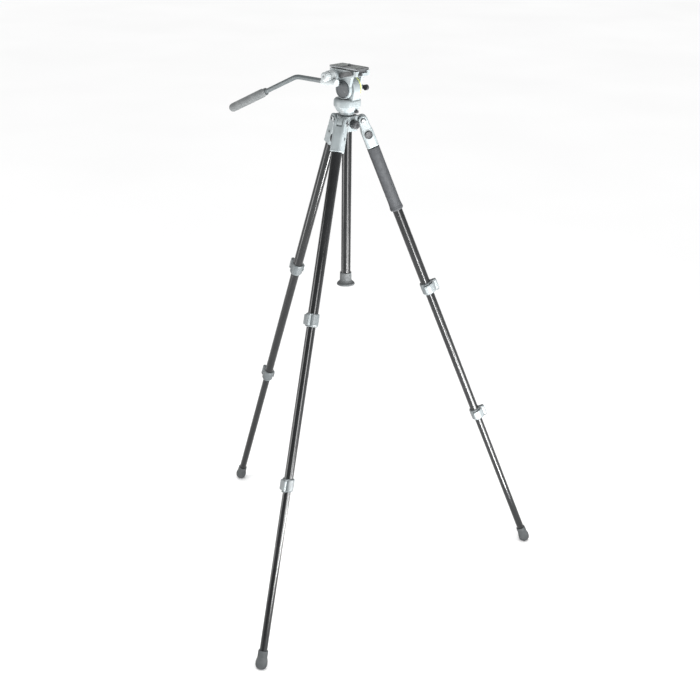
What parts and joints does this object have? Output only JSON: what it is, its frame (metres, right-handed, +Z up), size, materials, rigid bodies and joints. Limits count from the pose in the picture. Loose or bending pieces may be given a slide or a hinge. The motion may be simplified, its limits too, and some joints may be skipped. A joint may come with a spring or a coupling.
{
  "type": "tripod with fluid head",
  "caption": "Three-section video tripod with flip-lock legs, centre column and a pan-and-tilt fluid head with a handle and a sliding camera plate.",
  "frame": {"origin": "on the floor under the centre column's axis", "axes": "+Z up along the column; the front leg points along -Y; the head and the long side of its plate point 21.6 degrees clockwise of +X, seen from above"},
  "size_m": [0.9874, 0.8593, 1.4255],
  "materials": {
    "black_tube": "gloss anodised",
    "rubber": "matte",
    "grey_casting": "satin",
    "grey_collar": "satin",
    "grey_lever": "satin",
    "steel": "machined",
    "yellow_accent": "satin",
    "plate_alloy": "anodised",
    "black_plastic": "moulded"
  },
  "bodies": {
    "hub": {"spider_hub": "grey_casting", "column_bush": "black_plastic", "hinge_bolts": "steel"},
    "column_lock_knob": {"column_lock_knob": "black_plastic"},
    "column": {"column_tube": "black_tube", "column_top_plate": "grey_casting", "column_foot": "black_plastic", "head_stud": "steel", "pan_base": "grey_casting"},
    "pan_lock_knob": {"pan_lock_knob": "black_plastic"},
    "head": {"head_body": "grey_casting", "accent_ring": "yellow_accent", "tilt_cartridge": "black_plastic"},
    "platform": {"tilt_platform": "grey_casting", "tilt_shaft": "steel", "side_cap": "black_plastic"},
    "tilt_lock_lever": {"tilt_lock_lever": "black_plastic"},
    "plate_lock_lever": {"plate_lock_lever": "black_plastic"},
    "safety_button": {"safety_button": "black_plastic"},
    "quick_plate": {"quick_plate": "plate_alloy", "plate_pad": "rubber"},
    "camera_screw": {"camera_screw": "steel"},
    "handle": {"handle_clamp": "grey_collar", "handle_arm": "black_tube", "handle_grip": "rubber"},
    "handle_clamp_knob": {"handle_clamp_knob": "black_plastic"},
    "front_leg": {"front_casting": "grey_casting", "front_upper_tube": "black_tube", "front_upper_lock_collar": "grey_collar"},
    "front_angle_stop": {"front_angle_stop": "black_plastic"},
    "front_middle": {"front_middle_tube": "black_tube", "front_lower_lock_collar": "grey_collar"},
    "front_lower": {"front_lower_tube": "black_tube", "front_foot": "rubber"},
    "front_upper_lever": {"front_upper_lock_lever": "grey_lever"},
    "front_lower_lever": {"front_lower_lock_lever": "grey_lever"},
    "right_leg": {"right_casting": "grey_casting", "right_upper_tube": "black_tube", "right_upper_lock_collar": "grey_collar", "right_grip_sleeve": "rubber"},
    "right_angle_stop": {"right_angle_stop": "black_plastic"},
    "right_middle": {"right_middle_tube": "black_tube", "right_lower_lock_collar": "grey_collar"},
    "right_lower": {"right_lower_tube": "black_tube", "right_foot": "rubber"},
    "right_upper_lever": {"right_upper_lock_lever": "grey_lever"},
    "right_lower_lever": {"right_lower_lock_lever": "grey_lever"},
    "left_leg": {"left_casting": "grey_casting", "left_upper_tube": "black_tube", "left_upper_lock_collar": "grey_collar"},
    "left_angle_stop": {"left_angle_stop": "black_plastic"},
    "left_middle": {"left_middle_tube": "black_tube", "left_lower_lock_collar": "grey_collar"},
    "left_lower": {"left_lower_tube": "black_tube", "left_foot": "rubber"},
    "left_upper_lever": {"left_upper_lock_lever": "grey_lever"},
    "left_lower_lever": {"left_lower_lock_lever": "grey_lever"}
  },
  "joints": [
    {"name": "column_slide", "type": "slide", "parent": "hub", "child": "column", "axis": [0, 0, 1], "range_m": [0, 0.3]},
    {"name": "column_lock_knob_turn", "type": "hinge", "parent": "hub", "child": "column_lock_knob", "pos_m": [0.02598, -0.015, 1.2803], "axis": [0.866, -0.5, 0], "range_deg": [0, 360]},
    {"name": "pan", "type": "hinge", "parent": "column", "child": "head", "pos_m": [0, 0, 1.33], "axis": [0, 0, 1], "continuous": true},
    {"name": "pan_lock_knob_turn", "type": "hinge", "parent": "column", "child": "pan_lock_knob", "pos_m": [0.02789, -0.01104, 1.3122], "axis": [0.9298, -0.3681, 0], "range_deg": [0, 360]},
    {"name": "tilt", "type": "hinge", "parent": "head", "child": "platform", "pos_m": [0.00511, -0.00202, 1.366], "axis": [0.3681, 0.9298, 0], "range_deg": [-50, 80]},
    {"name": "tilt_lock_lever_turn", "type": "hinge", "parent": "platform", "child": "tilt_lock_lever", "pos_m": [0.01358, 0.01936, 1.366], "axis": [0.3681, 0.9298, 0], "range_deg": [-35, 35]},
    {"name": "plate_lock_lever_turn", "type": "hinge", "parent": "platform", "child": "plate_lock_lever", "pos_m": [-0.00585, -0.02565, 1.4], "axis": [0.3681, 0.9298, 0], "range_deg": [0, 60]},
    {"name": "safety_button_press", "type": "slide", "parent": "platform", "child": "safety_button", "axis": [-0.9298, 0.3681, 0], "range_m": [0, 0.002], "stiffness_N_per_m": 400},
    {"name": "plate_slide", "type": "slide", "parent": "platform", "child": "quick_plate", "axis": [0.9298, -0.3681, 0], "range_m": [-0.02, 0.02]},
    {"name": "camera_screw_turn", "type": "hinge", "parent": "quick_plate", "child": "camera_screw", "pos_m": [0.00511, -0.00202, 1.415], "axis": [0, 0, 1], "continuous": true},
    {"name": "handle_swing", "type": "hinge", "parent": "platform", "child": "handle", "pos_m": [-0.03444, -0.02723, 1.397], "axis": [0.3681, 0.9298, 0], "range_deg": [-20, 60]},
    {"name": "handle_clamp_knob_turn", "type": "hinge", "parent": "handle", "child": "handle_clamp_knob", "pos_m": [-0.03754, -0.03504, 1.397], "axis": [-0.3681, -0.9298, 0], "range_deg": [0, 360]},
    {"name": "front_leg_hinge", "type": "hinge", "parent": "hub", "child": "front_leg", "pos_m": [0, -0.0386, 1.2863], "axis": [-1, 0, 0], "range_deg": [-22, 58]},
    {"name": "front_angle_stop_pull", "type": "slide", "parent": "front_leg", "child": "front_angle_stop", "axis": [0, -0.3741, -0.9274], "range_m": [0, 0.006], "stiffness_N_per_m": 600, "springref_m": -0.002},
    {"name": "front_middle_slide", "type": "slide", "parent": "front_leg", "child": "front_middle", "axis": [0, -0.3741, -0.9274], "range_m": [-0.37, 0]},
    {"name": "front_lower_slide", "type": "slide", "parent": "front_middle", "child": "front_lower", "axis": [0, -0.3741, -0.9274], "range_m": [-0.405, 0]},
    {"name": "front_upper_lever_flip", "type": "hinge", "parent": "front_leg", "child": "front_upper_lever", "pos_m": [0, -0.24523, 0.84032], "axis": [0, 0.3741, 0.9274], "range_deg": [0, 100]},
    {"name": "front_lower_lever_flip", "type": "hinge", "parent": "front_middle", "child": "front_lower_lever", "pos_m": [0, -0.40054, 0.45127], "axis": [0, 0.3741, 0.9274], "range_deg": [0, 100]},
    {"name": "right_leg_hinge", "type": "hinge", "parent": "hub", "child": "right_leg", "pos_m": [0.03343, 0.0193, 1.2863], "axis": [0.5, -0.866, 0], "range_deg": [-22, 58]},
    {"name": "right_angle_stop_pull", "type": "slide", "parent": "right_leg", "child": "right_angle_stop", "axis": [0.324, 0.187, -0.9274], "range_m": [0, 0.006], "stiffness_N_per_m": 600, "springref_m": -0.002},
    {"name": "right_middle_slide", "type": "slide", "parent": "right_leg", "child": "right_middle", "axis": [0.324, 0.187, -0.9274], "range_m": [-0.37, 0]},
    {"name": "right_lower_slide", "type": "slide", "parent": "right_middle", "child": "right_lower", "axis": [0.324, 0.187, -0.9274], "range_m": [-0.405, 0]},
    {"name": "right_upper_lever_flip", "type": "hinge", "parent": "right_leg", "child": "right_upper_lever", "pos_m": [0.21238, 0.12262, 0.84032], "axis": [-0.324, -0.187, 0.9274], "range_deg": [0, 100]},
    {"name": "right_lower_lever_flip", "type": "hinge", "parent": "right_middle", "child": "right_lower_lever", "pos_m": [0.34688, 0.20027, 0.45127], "axis": [-0.324, -0.187, 0.9274], "range_deg": [0, 100]},
    {"name": "left_leg_hinge", "type": "hinge", "parent": "hub", "child": "left_leg", "pos_m": [-0.03343, 0.0193, 1.2863], "axis": [0.5, 0.866, 0], "range_deg": [-22, 58]},
    {"name": "left_angle_stop_pull", "type": "slide", "parent": "left_leg", "child": "left_angle_stop", "axis": [-0.324, 0.187, -0.9274], "range_m": [0, 0.006], "stiffness_N_per_m": 600, "springref_m": -0.002},
    {"name": "left_middle_slide", "type": "slide", "parent": "left_leg", "child": "left_middle", "axis": [-0.324, 0.187, -0.9274], "range_m": [-0.37, 0]},
    {"name": "left_lower_slide", "type": "slide", "parent": "left_middle", "child": "left_lower", "axis": [-0.324, 0.187, -0.9274], "range_m": [-0.405, 0]},
    {"name": "left_upper_lever_flip", "type": "hinge", "parent": "left_leg", "child": "left_upper_lever", "pos_m": [-0.21238, 0.12262, 0.84032], "axis": [0.324, -0.187, 0.9274], "range_deg": [0, 100]},
    {"name": "left_lower_lever_flip", "type": "hinge", "parent": "left_middle", "child": "left_lower_lever", "pos_m": [-0.34688, 0.20027, 0.45127], "axis": [0.324, -0.187, 0.9274], "range_deg": [0, 100]}
  ]
}
